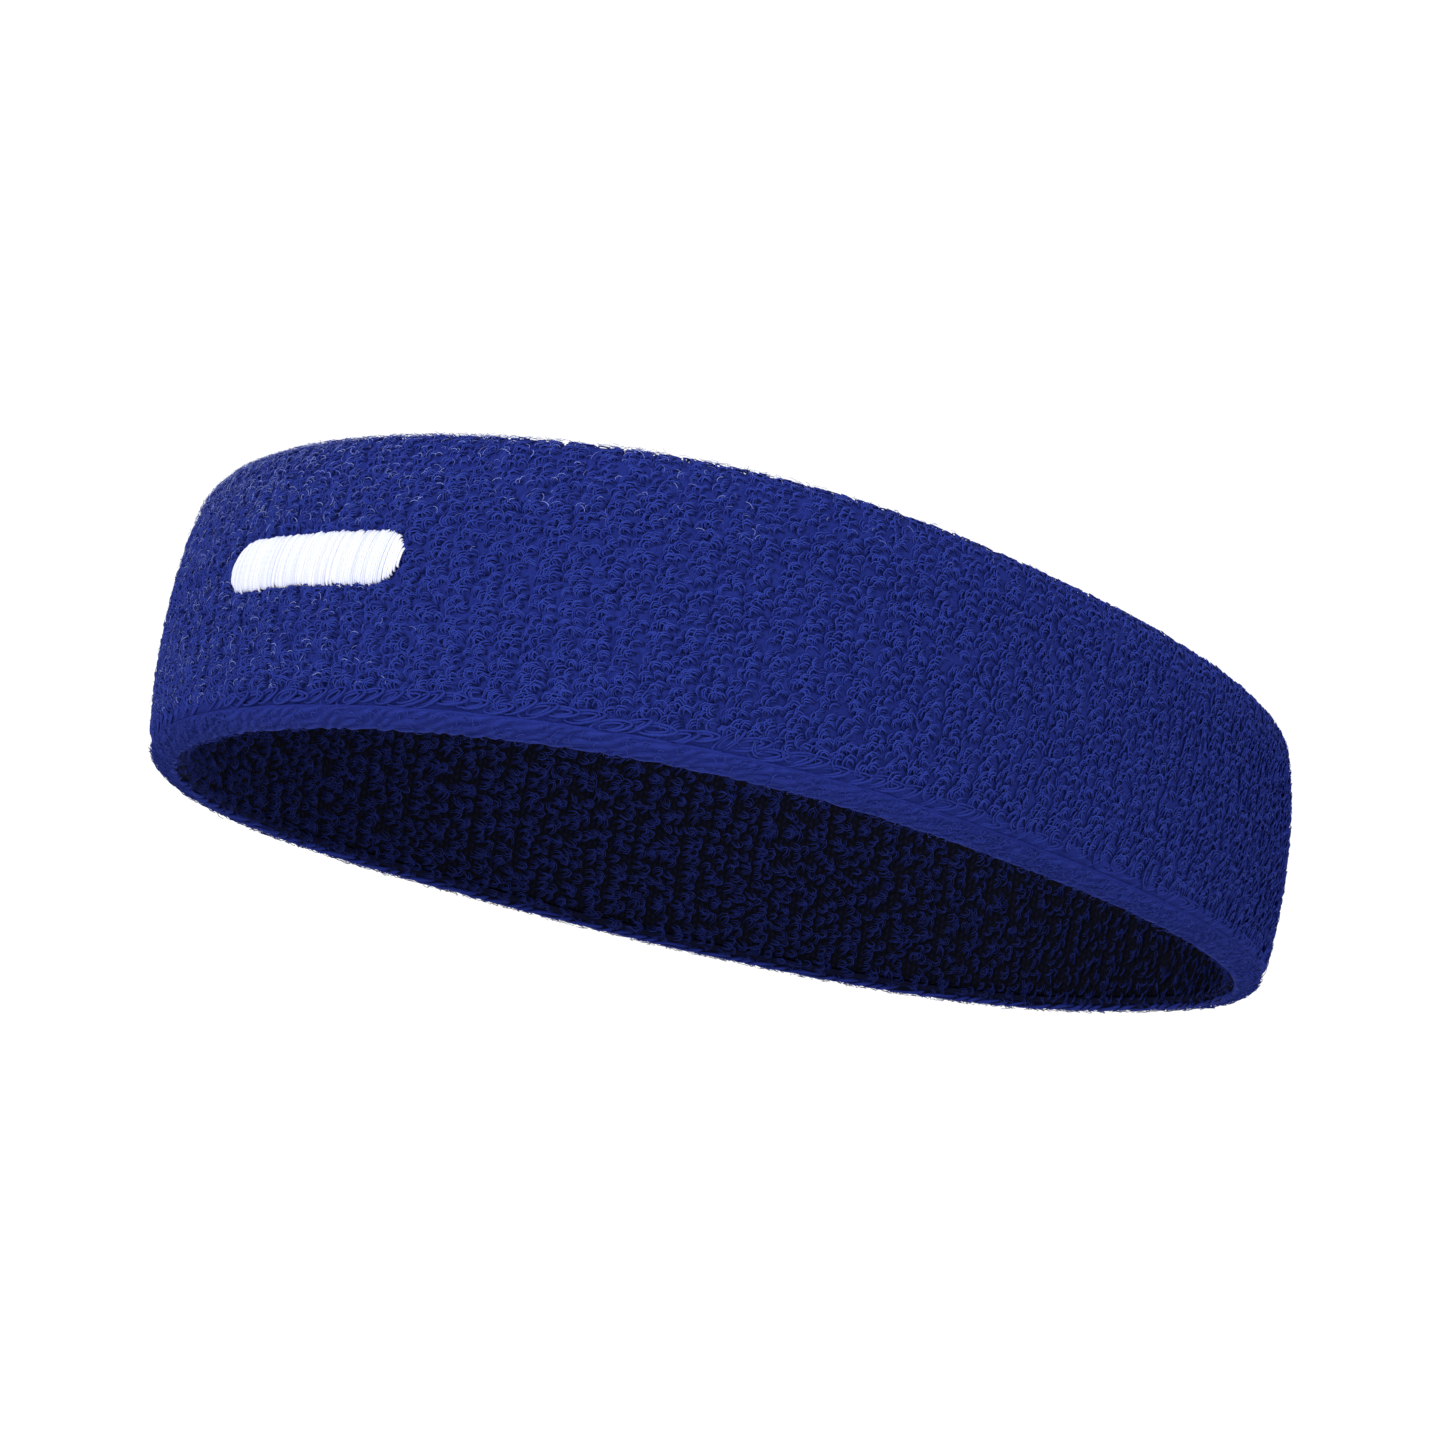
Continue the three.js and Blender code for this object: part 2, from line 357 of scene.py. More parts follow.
def bent_ply(sides, steps, sweep, radius):
    """A ply bent into an arc one unit in radius, standing on its two cut ends: spun from a small disc."""
    bpy.ops.mesh.primitive_circle_add(vertices=sides, radius=radius, fill_type="NGON", location=(1, 0, 0))
    ply = bpy.context.object
    bpy.ops.object.transform_apply(location=True, rotation=False, scale=False)
    bpy.ops.object.mode_set(mode="EDIT")
    bpy.ops.mesh.select_all(action="SELECT")
    bpy.ops.mesh.spin(steps=steps, angle=math.radians(sweep), center=(0, 0, 0), axis=(0, 1, 0))
    bpy.ops.mesh.select_all(action="SELECT")
    bpy.ops.mesh.normals_make_consistent(inside=False)
    bpy.ops.object.mode_set(mode="OBJECT")
    ply.rotation_euler.y = math.radians(sweep / 2 - 90)
    bpy.ops.object.transform_apply(location=False, rotation=True, scale=False)
    return ply


def yarn_map(piece, sides, steps):
    """For each face corner of a bent ply: the share round it, the share along it, and its bake place."""
    share = []
    spare = []
    for face in piece.data.polygons:
        rings = [corner // sides for corner in face.vertices]
        around = [corner % sides for corner in face.vertices]
        wraps = max(around) - min(around) > 1 and max(rings) > min(rings)
        around = [sides if wraps and one == 0 else one for one in around]
        cap = max(rings) == min(rings)
        for ring, one in zip(rings, around):
            share.append((one / sides, ring / steps))
            turn = 2 * math.pi * one / sides
            end = 0.05 if ring == 0 else 0.95
            if cap:
                spare.append((0.5 + 0.4 * math.cos(turn), end + 0.035 * math.sin(turn)))
            else:
                spare.append((0.06 + 0.88 * one / sides, 0.12 + 0.76 * ring / steps))
    return np.array(share), np.array(spare)


def copies(name, template, points, maps, **marks):
    """One piece of many copies of a template, with an array of places for each, its maps and marks."""
    count, corners = points.shape[:2]
    faces = [tuple(face.vertices) for face in template.data.polygons]
    sides = np.array([corner for face in faces for corner in face])
    sizes = np.array([len(face) for face in faces])
    starts = np.append(0, np.cumsum(np.tile(sizes, count)))[:-1]
    mesh = bpy.data.meshes.new(name)
    mesh.vertices.add(count * corners)
    mesh.vertices.foreach_set("co", points.ravel())
    mesh.loops.add(count * len(sides))
    offsets = np.arange(count)[:, None] * corners
    mesh.loops.foreach_set("vertex_index", (sides[None] + offsets).ravel())
    mesh.polygons.add(count * len(faces))
    mesh.polygons.foreach_set("loop_start", starts)
    mesh.update(calc_edges=True)
    share, spare = maps
    yarn = mesh.uv_layers.new(name="yarn")
    yarn.data.foreach_set("uv", np.tile(share, (count, 1)).ravel())
    columns = math.ceil(math.sqrt(count))
    cell = np.stack([np.arange(count) % columns, np.arange(count) // columns], axis=1)
    baked = (cell[:, None] + spare[None]) / columns
    place = mesh.uv_layers.new(name="OFBake")
    place.data.foreach_set("uv", baked.ravel())
    for key, values in marks.items():
        mark = mesh.attributes.new(key, "FLOAT", "POINT")
        mark.data.foreach_set("value", np.broadcast_to(values, (count, corners)).ravel())
    mesh.shade_smooth()
    piece = bpy.data.objects.new(name, mesh)
    bpy.context.collection.objects.link(piece)
    return piece


def stand(template_points, count, sides, at, half_width, rise, lean, twist, spiral):
    """Stands bent plies on flat fabric. Each leans over, twisted from straight up the section."""
    rings = template_points.reshape(-1, sides, 3)
    centres = rings.mean(axis=1, keepdims=True)
    around = (rings - centres).reshape(1, -1, 3)
    centres = np.repeat(centres, sides, axis=1).reshape(1, -1, 3)
    share = np.linspace(-0.5, 0.5, len(rings)).repeat(sides)[None]
    nothing = np.zeros(count)
    over = np.column_stack([-np.sin(twist) * np.sin(lean), np.cos(twist) * np.sin(lean), np.cos(lean)])
    across = np.column_stack([np.cos(twist), np.sin(twist), nothing])
    beside = np.cross(over, across)
    wide = centres[..., 0] * half_width[:, None] + around[..., 0]
    tall = (centres[..., 2] + LOOP_FOOT) * rise[:, None] + around[..., 2]
    deep = share * spiral[:, None] + around[..., 1]
    parts = ((wide, across), (tall, over), (deep, beside))
    return at[:, None] + sum(amount[..., None] * way[:, None] for amount, way in parts)


def bar_half_width(along):
    """Half the width of the embroidered bar at a distance from its middle: straight, with round ends."""
    past = np.maximum(0, np.abs(along) - (BAR_HALF_LENGTH - BAR_HALF_WIDTH))
    return np.sqrt(np.maximum(0, BAR_HALF_WIDTH**2 - past**2))


BED_INSET = 1.42
BED_THICKNESS = 0.5
BED_COLUMNS = 400
BED_ROWS = 30
BED_PAST_FOLD = 1.5
BED_RIPPLE = 0.1
BED_RIPPLES_ROUND = 193
BED_RIPPLES_DRIFT = 61
bed_section = folded(BED_INSET)
bed = flat_sheet("pile_bed", BED_COLUMNS, BED_ROWS)
cells = places(bed) + (0.5, 0.5, 0)
flat = cells * (GIRTH, FOLD_TO + BED_PAST_FOLD, 1)
once_round = cells[:, 0] * 2 * np.pi
flat[:, 2] = BED_RIPPLE * np.sin(once_round * BED_RIPPLES_ROUND + 3 * np.sin(cells[:, 1] * 40))
flat[:, 2] += BED_RIPPLE * np.sin(cells[:, 1] * 150 + 2 * np.sin(once_round * BED_RIPPLES_DRIFT))
move(bed, lay(flat, bed_section))
close_seam(bed)
thicken(bed, BED_THICKNESS)


def pile(zone, wales, together, start, end, courses, plies, steps, ply_radius, half_width, rise, lean, lie,
         feet, sectors, node, first=1.0, loose=1.0, shorn=0.2):
    """The loops of one zone of the pile, in a few pieces that follow one another round the band.

    A loop is a few plies, one inside another. Wales draw together in groups, with a lower darker wale
    between them. first enlarges the lowest rows, loose widens every spread, and crests are cut back
    above shorn.
    """
    ply = bent_ply(PLY_SIDES, steps, LOOP_SWEEP, ply_radius)
    ply_points = places(ply)
    ply_maps = yarn_map(ply, PLY_SIDES, steps)
    ply_height = np.repeat(ply_points.reshape(-1, PLY_SIDES, 3).mean(axis=1)[:, 2], PLY_SIDES)
    ply_rise = (ply_height + LOOP_FOOT) / (1 + LOOP_FOOT)
    wale, course = np.meshgrid(np.arange(wales), np.arange(courses))
    wale, course = wale.ravel(), course.ravel()
    count = len(wale)
    pitch = GIRTH / wales
    pairing = ((together - 1) / 2 - wale % together) * PAIRING * pitch
    valley = wale % together == 0
    x = (wale + COURSE_SHIFT * (course % 2)) * pitch + pairing
    x += chance.normal(0, SIDEWAYS_SPREAD * loose * pitch, count)
    step = (end - start) / courses
    y = start + (course + COURSE_START) * step + chance.normal(0, COURSE_SPREAD * loose * step, count)
    twist = np.radians(chance.normal(lie, TWIST_SPREAD * loose, count))
    leaning = np.clip(chance.normal(lean, LEAN_SPREAD, count), lean - LEAN_UP, lean + LEAN_DOWN)
    leaning = np.radians(leaning)
    growth = 1 + (first - 1) * np.exp((start - y) / FIRST_ROWS)
    wide = half_width * growth * chance.normal(1, WIDTH_SPREAD * loose, count)
    tall = rise * growth * (1 - VALLEY_LOW * valley) * chance.normal(1, RISE_SPREAD * loose, count)
    loop_tone = chance.normal(TONE_MIDDLE, TONE_SPREAD, count) - VALLEY_DARK * valley
    middle_x = x - LOOP_REACH * np.sin(twist) - BAR_ROUND
    middle_y = y + LOOP_REACH * np.cos(twist) + LEG_FROM - BAR_HEIGHT
    covered_by_bar = (np.abs(middle_y) < bar_half_width(middle_x)) & (zone == "outer")
    kept = np.nonzero(~covered_by_bar)[0].repeat(plies)
    which = np.tile(np.arange(plies), len(kept) // plies)
    total = len(kept)
    at = np.column_stack([x[kept], y[kept], np.full(total, feet)])
    at += chance.normal(0, PLY_SCATTER, (total, 3))
    points = stand(
        ply_points, total, PLY_SIDES, at,
        half_width=wide[kept] * (1 - which / (plies + PLY_NESTING)) + PLY_LEAST,
        rise=tall[kept] * (PLY_TALLEST - PLY_STEP_DOWN * which),
        lean=leaning[kept] + np.radians(chance.normal(0, PLY_LEAN, total)),
        twist=twist[kept] + np.radians(chance.normal(0, PLY_TWIST, total)),
        spiral=chance.normal(PLY_SPIRAL, PLY_SPIRAL_SPREAD, total),
    )
    points += np.repeat(chance.normal(0, PLY_KINK, (total, steps + 1, 3)), PLY_SIDES, axis=1)
    points[..., 2] -= SHEARING * np.maximum(0, points[..., 2] - shorn)
    tone = np.clip(loop_tone[kept] + chance.normal(0, PLY_TONE_SPREAD, total), 0, 1)[:, None]
    sector = (np.mod(at[:, 0], GIRTH) * sectors / GIRTH).astype(int)
    laid = lay(points, pile_section)
    # The inside mark grows from 0 to 1 over the top of the fold and carries the painted shade on the
    # inside.
    inside = np.clip((points[..., 1] - FOLD_TO + INSIDE_SHADE_LEAD) / INSIDE_SHADE_OVER, 0, 1)
    pieces = []
    for number in range(sectors):
        mine = sector == number
        piece = copies(
            f"{zone}_pile_{number + 1}", ply, laid[mine], ply_maps,
            tone=tone[mine], rise=ply_rise[None], inside=inside[mine],
        )
        wear(piece, cotton)
        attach(piece, "root")
        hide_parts(node)
        pieces.append(piece)
    bpy.data.objects.remove(ply)
    return pieces


PILE_BLUE = colour(35, 48, 129)
PILE_BLUE_LIGHT = colour(46, 62, 149)
PILE_BLUE_DEEP = colour(26, 36, 104)
# Deep blue for the feet of the loops and the grooves of the welt: partly dye, partly painted shade.
DEEP_DYE_AND_SHADE_BLUE = colour(20, 29, 87)
# A darker blue painted on the inside of the band as shade; the yarn there is the same as outside.
INNER_PAINTED_SHADE_BLUE = colour(10, 15, 52)
INNER_PAINTED_SHADE_SHARE = 0.46
SHEEN_BLUE = colour(70, 95, 220)
MATTED_DARK = colour(20, 29, 90)
MATTED_LIGHT = colour(33, 45, 121)
cotton, cotton_shader, dye = finish(
    "pile_cotton_loops", Roughness=0.85, Specular_IOR_Level=0.06, Sheen_Weight=0.12, Sheen_Roughness=0.5,
    Sheen_Tint=SHEEN_BLUE,
)
tone_mark = dye.node("Attribute", {"attribute_name": "tone"}, {}, output="Fac")
rise_shade_mark = dye.node("Attribute", {"attribute_name": "rise"}, {}, output="Fac")
inside_shade_mark = dye.node("Attribute", {"attribute_name": "inside"}, {}, output="Fac")
yarn_uv = dye.node("UVMap", {"uv_map": "yarn"}, {})
round_ply = dye.node("SeparateXYZ", {}, {0: yarn_uv})
along_ply = dye.node("SeparateXYZ", {}, {0: yarn_uv}, output=1)
fibres = (round_ply * 4 + along_ply * 9).wave()
body = tone_mark.between(PILE_BLUE, PILE_BLUE_LIGHT)
# Each loop darkens towards its foot, partly from its dye and partly as painted shade down among the loops;
# the fibre stripes darken it too.
body = (fibres * 0.35 + (1 - rise_shade_mark) * 0.35).between(body, PILE_BLUE_DEEP)
body = ((1 - rise_shade_mark) ** 2).between(body, DEEP_DYE_AND_SHADE_BLUE)
# Towards the inside the yarn is darkened: painted shade.
body = (inside_shade_mark * INNER_PAINTED_SHADE_SHARE).between(body, INNER_PAINTED_SHADE_BLUE)
body.feed(cotton_shader, "Base Color")

roots, roots_shader, dye = finish("matted_cotton_roots", Roughness=0.9, Specular_IOR_Level=0.04)
spot = dye.node("TexCoord", {}, {}, output="Object")
tangle = dye.node("TexNoise", {}, {"Vector": spot, "Scale": 1400.0, "Detail": 4.0, "Distortion": 1.5})
tangle.between(MATTED_DARK, MATTED_LIGHT).feed(roots_shader, "Base Color")
relief = dye.node("Bump", {}, {"Height": tangle, "Distance": 0.0003, "Strength": 0.8})
relief.feed(roots_shader, "Normal")
wear(bed, roots)
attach(bed, "root")
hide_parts("outer_terry_pile")

outer_pile = pile(
    "outer", wales=405, together=3, start=OUTER_FROM, end=FOLD_FROM, courses=23, plies=3, steps=5,
    ply_radius=0.135, half_width=0.98, rise=1.35, lean=64, lie=66, feet=-0.6, sectors=5,
    node="outer_terry_pile", first=1.3,
)
fold_pile = pile(
    "fold", wales=375, together=3, start=FOLD_FROM, end=FOLD_TO, courses=13, plies=2, steps=4,
    ply_radius=0.155, half_width=0.98, rise=1.15, lean=72, lie=60, feet=-0.56, sectors=2,
    node="top_fold_pile", shorn=0.0,
)
inner_pile = pile(
    "inner", wales=230, together=2, start=FOLD_TO, end=INNER_TO, courses=24, plies=3, steps=4,
    ply_radius=0.068, half_width=0.92, rise=1.5, lean=58, lie=96, feet=-0.85, sectors=3,
    node="inner_terry_pile", loose=1.5, shorn=0.45,
)


# ---- Brushed fibres -------------------------------------------------------------------------
# Loose ends of cotton raised by the brushing, short curls rooted in the pile. Their pale colour is a
# painted highlight of the key light, thickest where it falls: on the brow and along the top edge.

WISPS = 4200
WISP_RADIUS = 0.032
WISP_SIDES = 3
WISP_SWEEP = 130
WISP_STEPS = 4
WISP_THINNING = 2.2
WISP_FADING = 2.6
WISP_BLUE = colour(52, 68, 156)
WISP_PAINTED_GLINT = colour(150, 168, 236)
BROW_ROUND = -10
BROW_SPREAD = 19
BROW_SHARE = 0.76
EDGE_ROUND = 30
EDGE_SPREAD = 38
EDGE_DEPTH = 16
WISP_TOP = FOLD_TO - 7.5

wisp = bent_ply(WISP_SIDES, WISP_STEPS, WISP_SWEEP, WISP_RADIUS)
tries = WISPS * 2
on_brow = chance.uniform(0, 1, tries) < BROW_SHARE
brow_x = chance.normal(BROW_ROUND, BROW_SPREAD, tries)
edge_x = chance.normal(EDGE_ROUND, EDGE_SPREAD, tries)
wisp_x = np.where(on_brow, brow_x, edge_x)
wisp_reach = np.where(on_brow, WISP_TOP - OUTER_FROM, EDGE_DEPTH)
wisp_y = WISP_TOP - wisp_reach * chance.uniform(0, 1, tries) ** WISP_THINNING
off_bar = np.abs(wisp_y + LEG_FROM - BAR_HEIGHT) > bar_half_width(wisp_x - BAR_ROUND) + 1
wisp_x, wisp_y = wisp_x[off_bar][:WISPS], wisp_y[off_bar][:WISPS]
wisp_z = chance.normal(0.2, 0.09, WISPS)
points = stand(
    places(wisp), WISPS, WISP_SIDES, np.column_stack([wisp_x, wisp_y, wisp_z]),
    half_width=chance.uniform(0.4, 0.85, WISPS), rise=chance.uniform(0.3, 0.65, WISPS),
    lean=np.radians(chance.normal(88, 3, WISPS)), twist=np.radians(chance.normal(10, 45, WISPS)),
    spiral=chance.normal(0, 0.3, WISPS),
)
fluff, fluff_shader, dye = finish("brushed_fibre", Roughness=0.7, Specular_IOR_Level=0.3)
tone_mark = dye.node("Attribute", {"attribute_name": "tone"}, {}, output="Fac")
# Most wisps stay near the pile's blue; the pale end of their tone is a painted highlight.
tone_mark.between(WISP_BLUE, WISP_PAINTED_GLINT).feed(fluff_shader, "Base Color")
wisps = copies(
    "brushed_fibres", wisp, lay(points, pile_section), yarn_map(wisp, WISP_SIDES, WISP_STEPS),
    tone=chance.uniform(0, 1, (WISPS, 1)) ** WISP_FADING,
)
bpy.data.objects.remove(wisp)
wear(wisps, fluff)
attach(wisps, "root")
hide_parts("outer_terry_pile")


# ---- Bottom welt ----------------------------------------------------------------------------
# The plain-knit finish of the lower edge: three rounds of heavy yarn side by side round the rim.
# Each is three plies twisted together, and they lie half sunk in the channel that holds the tube.

BOTTOM_RISE_OUT = 5
WELT_TOP_OUT = 3
WELT_TOP_IN = 2.6
ROPES = 3
ROPE_PLIES = 3
ROPE_RADIUS = 1.0
ROPE_PLY = 0.52
ROPE_PITCH = 1.42
ROPE_EDGE = 0.6
ROPE_FLATNESS = 0.82
ROPE_SINK = 0.08
ROPE_LAY = 12
ROPE_STEPS = 640
ROPE_SIDES = 6
WELT_BODY_INSET = 0.62
WELT_BODY_COLUMNS = 360
WELT_BODY_ROWS = 26
WELT_BODY = 1.0
INNER_SHARE = 0.46
INNER_SINK = 1.0


def rim(inset):
    """The section of the welt from its inner top edge down, under the land, and up to its outer top."""
    outer_corner = quarter((LAND_FROM, BOTTOM_RISE_OUT), LAND_FROM - inset, BOTTOM_RISE_OUT - inset, 270)
    return measured(
        straight((WALL - inset, WELT_TOP_IN), (WALL - inset, BOTTOM_RISE_IN)),
        quarter((LAND_TO, BOTTOM_RISE_IN), WALL - LAND_TO - inset, BOTTOM_RISE_IN - inset, 0),
        straight((LAND_TO, inset), (LAND_FROM, inset)),
        outer_corner[outer_corner[:, 1] < WELT_TOP_OUT],
    )


welt_cotton, welt_shader, dye = finish(
    "welt_cotton_yarn", Roughness=0.88, Specular_IOR_Level=0.06, Sheen_Weight=0.12, Sheen_Roughness=0.5,
    Sheen_Tint=SHEEN_BLUE,
)
knit_map = dye.node("UVMap", {"uv_map": "knit"}, {})
round_yarn = dye.node("SeparateXYZ", {}, {0: knit_map}, output=1)
along_yarn = dye.node("SeparateXYZ", {}, {0: knit_map})
fuzz = dye.node("TexNoise", {}, {"Vector": dye.node("TexCoord", {}, {}, output="Object"), "Scale": 900.0})
fibres = (round_yarn * 7 + along_yarn * 420 + fuzz * 2.5).wave()
body = fuzz.between(colour(26, 37, 108), colour(38, 51, 134))
body = (fibres * 0.45).between(body, PILE_BLUE_DEEP)
# Each ply darkens where it turns into its round, away from its crest: painted shade between the plies.
crest_shade_mark = dye.node("Attribute", {"attribute_name": "crest"}, {}, output="Fac")
body = ((1 - crest_shade_mark) * 1.3).between(body, DEEP_DYE_AND_SHADE_BLUE)
body.feed(welt_shader, "Base Color")

tuck, tuck_shader, dye = finish("tucked_welt_channel", Roughness=0.9, Specular_IOR_Level=0.04)
knit_map = dye.node("UVMap", {"uv_map": "knit"}, {})
across = dye.node("SeparateXYZ", {}, {0: knit_map}, output=1)
# The inner share takes the navy of the nylon ground: partly that yarn, partly painted shade on the inner
# side and underside of the rim.
outside = dye.node("Math", {"operation": "GREATER_THAN"}, {0: across, 1: INNER_SHARE})
fuzz = dye.node("TexNoise", {}, {"Vector": dye.node("TexCoord", {}, {}, output="Object"), "Scale": 1200.0})
body = fuzz.between(colour(20, 28, 90), colour(34, 46, 124))
outside.between(NAVY_NYLON, body).feed(tuck_shader, "Base Color")
relief = dye.node("Bump", {}, {"Height": fuzz, "Distance": 0.0002, "Strength": 0.6})
relief.feed(tuck_shader, "Normal")

body_section = rim(WELT_BODY_INSET)
welt_body = flat_sheet("welt_body", WELT_BODY_COLUMNS, WELT_BODY_ROWS)
cells = places(welt_body) + (0.5, 0.5, 0)
flat = cells * (GIRTH, body_section[0][-1], 1)
flat[:, 2] = np.where(cells[:, 1] < INNER_SHARE, -INNER_SINK, 0)
move(welt_body, lay(flat, body_section))
close_seam(welt_body)
thicken(welt_body, WELT_BODY)
wear(welt_body, tuck)
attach(welt_body, "root")
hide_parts("bottom_welt")

rope_section = rim(ROPE_RADIUS)
lays = round(GIRTH / ROPE_LAY)
for row in range(ROPES):
    strands = []
    for strand in range(ROPE_PLIES):
        piece = flat_sheet(f"welt_round_{row + 1}", ROPE_STEPS, ROPE_SIDES)
        cells = places(piece) + (0.5, 0.5, 0)
        once_round = cells[:, 0] * 2 * np.pi
        wander = 0.12 * np.sin(once_round * 97 + strand * 2 + row)
        sway = 0.8 * np.sin(once_round * 23 + row * 2) + 0.5 * np.sin(once_round * 61)
        angle = -2 * np.pi * (cells[:, 0] * lays + strand / ROPE_PLIES) + row * 1.3 + sway
        around = -2 * np.pi * cells[:, 1]
        thick = ROPE_PLY * (1 + wander)
        centre = rope_section[0][-1] - ROPE_EDGE - row * ROPE_PITCH + 0.16 * np.sin(angle * 0.5 + row)
        off = ROPE_RADIUS - ROPE_PLY
        y = centre + off * 1.15 * np.cos(angle) + thick * np.cos(around)
        z = ROPE_FLATNESS * (off * np.sin(angle) + thick * np.sin(around)) - ROPE_SINK
        flat = np.column_stack([cells[:, 0] * GIRTH, y, z])
        move(piece, lay(flat, rope_section))
        # The crest mark is 1 where a ply faces out of its round and 0 where it faces in, and carries the
        # painted shade between plies.
        crest = piece.data.attributes.new("crest", "FLOAT", "POINT")
        crest.data.foreach_set("value", 0.5 + 0.5 * np.cos(around - angle))
        close_seam(piece)
        strands.append(piece)
    bpy.ops.object.select_all(action="DESELECT")
    for piece in strands:
        piece.select_set(True)
    bpy.context.view_layer.objects.active = strands[0]
    bpy.ops.object.join()
    wear(strands[0], welt_cotton)
    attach(strands[0], "root")
    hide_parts("bottom_welt")
    bpy.ops.object.select_all(action="DESELECT")


# ---- Matted welt fibres ---------------------------------------------------------------------
# Short ends of the same cotton that wear has raised on the welt. They lie flat over its rounds and
# hide them along the back half of the band, where the welt is matted into the pile.

MATTED = 5200
MATTED_LEAST = 0.2
MATTED_RADIUS = 0.06
MATTED_FROM = 75
MATTED_FULL = 135
MATTED_DEPTH = 3.9
MATTED_RISE = 0.8

fibre = bent_ply(WISP_SIDES, WISP_STEPS, WISP_SWEEP, MATTED_RADIUS)
fibre_x = chance.uniform(0, GIRTH, MATTED)
cover = np.clip((fibre_x - MATTED_FROM) / (MATTED_FULL - MATTED_FROM), MATTED_LEAST, 1)
fibre_x = fibre_x[chance.uniform(0, 1, MATTED) < cover]
mats = len(fibre_x)
fibre_y = rope_section[0][-1] - MATTED_DEPTH * chance.uniform(0, 1, mats)
fibre_z = chance.normal(0.62, 0.08, mats)
points = stand(
    places(fibre), mats, WISP_SIDES, np.column_stack([fibre_x, fibre_y, fibre_z]),
    half_width=chance.uniform(0.5, 0.95, mats), rise=chance.uniform(0.5, 1.0, mats),
    lean=np.radians(chance.normal(78, 6, mats)), twist=np.radians(chance.normal(30, 45, mats)),
    spiral=chance.normal(0, 0.3, mats),
)
matted = copies(
    "matted_welt_fibres", fibre, lay(points, rope_section), yarn_map(fibre, WISP_SIDES, WISP_STEPS),
    tone=chance.uniform(0.2, 0.9, (mats, 1)), rise=np.full((1, 1), MATTED_RISE), inside=np.zeros((1, 1)),
)
bpy.data.objects.remove(fibre)
wear(matted, cotton)
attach(matted, "root")
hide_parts("bottom_welt")


# ---- Linking chain --------------------------------------------------------------------------
# One row of chain stitches in the same thread. It closes the two ends of the tube over the welt,
# and shows as long overlapping links, each of two turns of thread, along the top of the welt.

CHAIN_HEIGHT = 4.4
CHAIN_LINKS = 172
CHAIN_TURNS = 2
CHAIN_HALF_LENGTH = 2.9
CHAIN_HALF_WIDTH = 0.82
CHAIN_THREAD = 0.24
CHAIN_INSET = 0.5
CHAIN_DEPTH = 0.56
CHAIN_SINK = 0.45
CHAIN_RISE = 0.6
LINK_SEGMENTS = 14
LINK_SIDES = 4
LINK_TAPER = 0.25
LINK_TIP = 0.34
NEXT_TURN_SMALLER = 0.42
NEXT_TURN_DEEPER = 0.1

bpy.ops.mesh.primitive_torus_add(
    major_segments=LINK_SEGMENTS, minor_segments=LINK_SIDES, major_radius=1, minor_radius=CHAIN_THREAD,
    location=(0, 0, 0),
)
link = bpy.context.object
link_points = places(link)
link_turn = np.arctan2(link_points[:, 1], link_points[:, 0])
link_centre = np.column_stack([np.cos(link_turn), np.sin(link_turn), 0 * link_turn])
link_around = link_points - link_centre
link_faces = [tuple(face.vertices) for face in link.data.polygons]
link_share = []
for number in range(len(link_faces)):
    column, row = number % LINK_SEGMENTS, number // LINK_SEGMENTS
    for corner in range(4):
        across = column / LINK_SEGMENTS + 0.01 + 0.05 * (corner // 2)
        link_share.append((across, row / LINK_SIDES + 0.02 + 0.2 * (corner % 3 > 0)))
link_share = np.array(link_share)
which = np.tile(np.arange(CHAIN_TURNS), CHAIN_LINKS)
links = len(which)
turn = np.radians(chance.normal(14, 9, CHAIN_LINKS)).repeat(CHAIN_TURNS)
size = chance.normal(1, 0.13, CHAIN_LINKS).repeat(CHAIN_TURNS) * (1 - NEXT_TURN_SMALLER * which)
taper = 1 - LINK_TAPER * link_centre[None, :, 0]
wide = link_centre[None, :, 0] * (size * CHAIN_HALF_LENGTH)[:, None]
tall = link_centre[None, :, 1] * (size * CHAIN_HALF_WIDTH)[:, None] * taper
x = (np.arange(CHAIN_LINKS).repeat(CHAIN_TURNS) + 0.5) * GIRTH / CHAIN_LINKS
x = x + chance.normal(0, 0.4, CHAIN_LINKS).repeat(CHAIN_TURNS)
y = CHAIN_HEIGHT - LEG_FROM + chance.normal(0, 0.25, CHAIN_LINKS).repeat(CHAIN_TURNS)
sunk = CHAIN_DEPTH + CHAIN_SINK * np.clip((x - MATTED_FROM) / (MATTED_FULL - MATTED_FROM), 0, 1)
tip = LINK_TIP * link_centre[None, :, 0] - NEXT_TURN_DEEPER * which[:, None] - sunk[:, None]
points = np.stack([
    x[:, None] + wide * np.cos(turn)[:, None] - tall * np.sin(turn)[:, None],
    y[:, None] + wide * np.sin(turn)[:, None] + tall * np.cos(turn)[:, None],
    tip + 0 * wide,
], axis=-1) + link_around[None]
chain = copies(
    "linking_chain_links", link, lay(points, folded(CHAIN_INSET)), (link_share, link_share),
    tone=chance.uniform(0, 0.45, (links, 1)), rise=np.full((1, 1), CHAIN_RISE), inside=np.zeros((1, 1)),
)
bpy.data.objects.remove(link)
wear(chain, cotton)
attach(chain, "root")
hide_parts("linking_chain")


# ---- Embroidered bar ------------------------------------------------------------------------
# A plain bar in white rayon satin stitch, worked through the outer layer over a nonwoven backing.
# The stitches lie side by side at a slant over a padding of underlay, pulled down into the pile.

BAR_TOP = 0.5
STITCHES = 98
STITCH_RADIUS = 0.21
STITCH_SLANT = 17
STITCH_SIDES = 5
STITCH_STEPS = 10
STITCH_LEAST = 1.1
STITCH_END = 0.25
SATIN_WHITE = colour(230, 232, 243)
SATIN_SHADE = colour(176, 182, 218)

